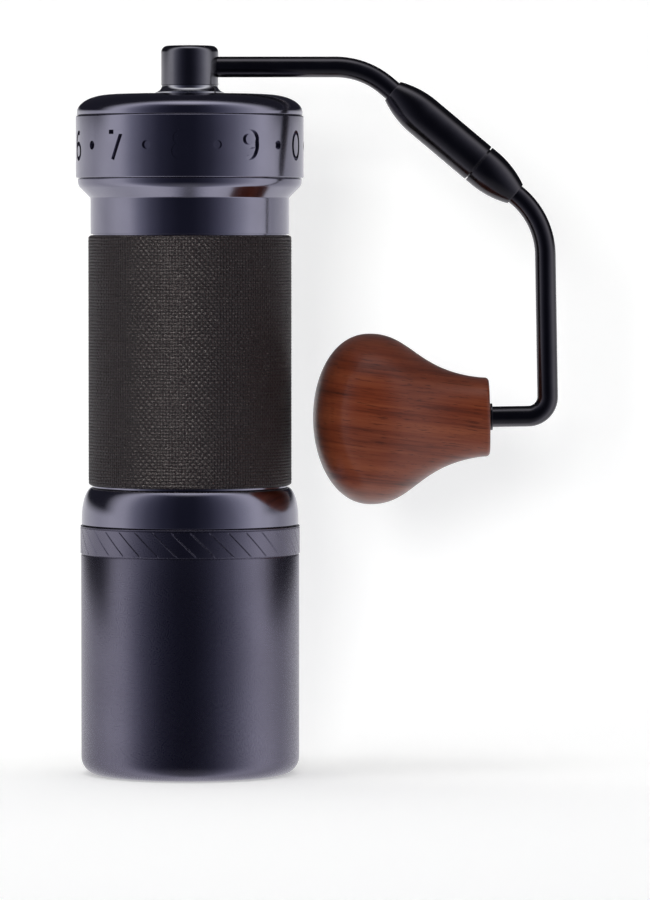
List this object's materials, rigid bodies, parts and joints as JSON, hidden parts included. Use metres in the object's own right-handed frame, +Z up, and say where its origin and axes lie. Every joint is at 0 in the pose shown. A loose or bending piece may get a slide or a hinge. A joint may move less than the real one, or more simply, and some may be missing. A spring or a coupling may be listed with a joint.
{
  "type": "hand crank coffee grinder",
  "caption": "Slim hand coffee grinder with a folding crank and wooden knob, numbered outer grind dial, textured rubber grip and magnetic catch cup.",
  "frame": {"origin": "centre of the catch cup's flat base, on the grinder's axis", "axes": "+Z up along the grinder's axis, +X towards the folded crank, -Y towards the front with the dial reading 8"},
  "size_m": [0.1258, 0.0594, 0.19],
  "materials": {
    "anodised_aluminium": "dark gunmetal anodised, fine satin",
    "grip_rubber": "dark brown-black moulded rubber with a fine woven texture",
    "hub_coat": "satin near-black coat on turned steel",
    "black_coat": "satin black coat on steel",
    "polished_steel": "polished",
    "bare_aluminium": "machined",
    "burr_steel": "ground and hardened",
    "spring_steel": "bright drawn",
    "bronze": "sintered",
    "nickel_magnet": "nickel plated",
    "silicone": "soft matte",
    "lacquered_wood": "reddish-brown hardwood under clear satin lacquer"
  },
  "bodies": {
    "housing": {"main_body": "anodised_aluminium", "grip_sleeve": "grip_rubber", "outer_burr": "burr_steel", "burr_lock_ring": "bare_aluminium", "lower_spider": "bare_aluminium", "lower_bearing_outer": "polished_steel", "strike_ring": "polished_steel", "dial_retainer": "spring_steel", "click_ring": "spring_steel", "preload_spring": "spring_steel"},
    "catch_cup": {"catch_cup": "anodised_aluminium", "cup_magnet_1": "nickel_magnet", "cup_magnet_2": "nickel_magnet", "cup_magnet_3": "nickel_magnet", "cup_magnet_4": "nickel_magnet", "cup_magnet_5": "nickel_magnet", "cup_magnet_6": "nickel_magnet"},
    "dial": {"dial_ring": "anodised_aluminium", "click_ball_a": "polished_steel", "click_ball_b": "polished_steel", "click_spring_a": "spring_steel", "click_spring_b": "spring_steel"},
    "bearing_carrier": {"bearing_carrier": "bare_aluminium", "upper_bearing_outer": "polished_steel", "bearing_clip": "spring_steel"},
    "upper_cage": {"upper_bearing_balls": "spring_steel"},
    "lower_cage": {"lower_bearing_balls": "spring_steel"},
    "lower_race": {"lower_bearing_inner": "polished_steel"},
    "drive_shaft": {"drive_shaft": "spring_steel", "upper_bearing_inner": "polished_steel", "inner_burr": "burr_steel", "burr_washer": "polished_steel", "burr_nut": "polished_steel", "shaft_clip": "spring_steel"},
    "lid": {"lid_shell": "anodised_aluminium", "lid_bush": "bronze", "lid_seal": "silicone"},
    "crank": {"crank_hub": "hub_coat", "hub_washer": "polished_steel", "hub_clip": "spring_steel", "upper_arm": "black_coat", "sleeve_upper": "black_coat", "fold_bush": "bronze", "fold_spring": "spring_steel"},
    "folding_arm": {"sleeve_lower": "black_coat", "fold_pin": "spring_steel", "lower_arm": "black_coat", "knob_washer": "black_coat", "knob_clip": "spring_steel"},
    "knob": {"knob": "lacquered_wood", "knob_bush": "bronze"}
  },
  "joints": [
    {"name": "cup_release", "type": "slide", "parent": "housing", "child": "catch_cup", "axis": [0, 0, -1], "range_m": [0, 0.09]},
    {"name": "dial_turn", "type": "hinge", "parent": "housing", "child": "dial", "pos_m": [0, 0, 0.1636], "axis": [0, 0, 1], "range_deg": [-252, 288]},
    {"name": "burr_adjust", "type": "slide", "parent": "housing", "child": "bearing_carrier", "axis": [0, 0, 1], "range_m": [-0.0014, 0.0016], "deforming": ["preload_spring"]},
    {"name": "shaft_spin", "type": "hinge", "parent": "bearing_carrier", "child": "drive_shaft", "pos_m": [0, 0, 0.12], "axis": [0, 0, 1], "continuous": true},
    {"name": "upper_cage_spin", "type": "hinge", "parent": "bearing_carrier", "child": "upper_cage", "pos_m": [0, 0, 0.1631], "axis": [0, 0, 1], "continuous": true},
    {"name": "lower_cage_spin", "type": "hinge", "parent": "housing", "child": "lower_cage", "pos_m": [0, 0, 0.0955], "axis": [0, 0, 1], "continuous": true},
    {"name": "lower_race_spin", "type": "hinge", "parent": "housing", "child": "lower_race", "pos_m": [0, 0, 0.0955], "axis": [0, 0, 1], "continuous": true},
    {"name": "lid_lift", "type": "slide", "parent": "housing", "child": "lid", "axis": [0, 0, 1], "range_m": [0, 0.045]},
    {"name": "crank_spin", "type": "hinge", "parent": "lid", "child": "crank", "pos_m": [0, 0, 0.18], "axis": [0, 0, 1], "continuous": true},
    {"name": "arm_fold", "type": "hinge", "parent": "crank", "child": "folding_arm", "pos_m": [0.05291, 0, 0.17822], "axis": [0.766, 0, -0.6428], "range_deg": [0, 180]},
    {"name": "knob_spin", "type": "hinge", "parent": "folding_arm", "child": "knob", "pos_m": [0.07819, 0, 0.09327], "axis": [-0.9998, 0, -0.0175], "continuous": true}
  ],
  "couplings": [
    {"joint": "burr_adjust", "follows": "dial_turn", "m_per_rad": 0.00031831},
    {"joint": "shaft_spin", "follows": "crank_spin", "ratio": 1},
    {"joint": "lower_race_spin", "follows": "crank_spin", "ratio": 1},
    {"joint": "upper_cage_spin", "follows": "crank_spin", "ratio": 0.396},
    {"joint": "lower_cage_spin", "follows": "crank_spin", "ratio": 0.427}
  ]
}
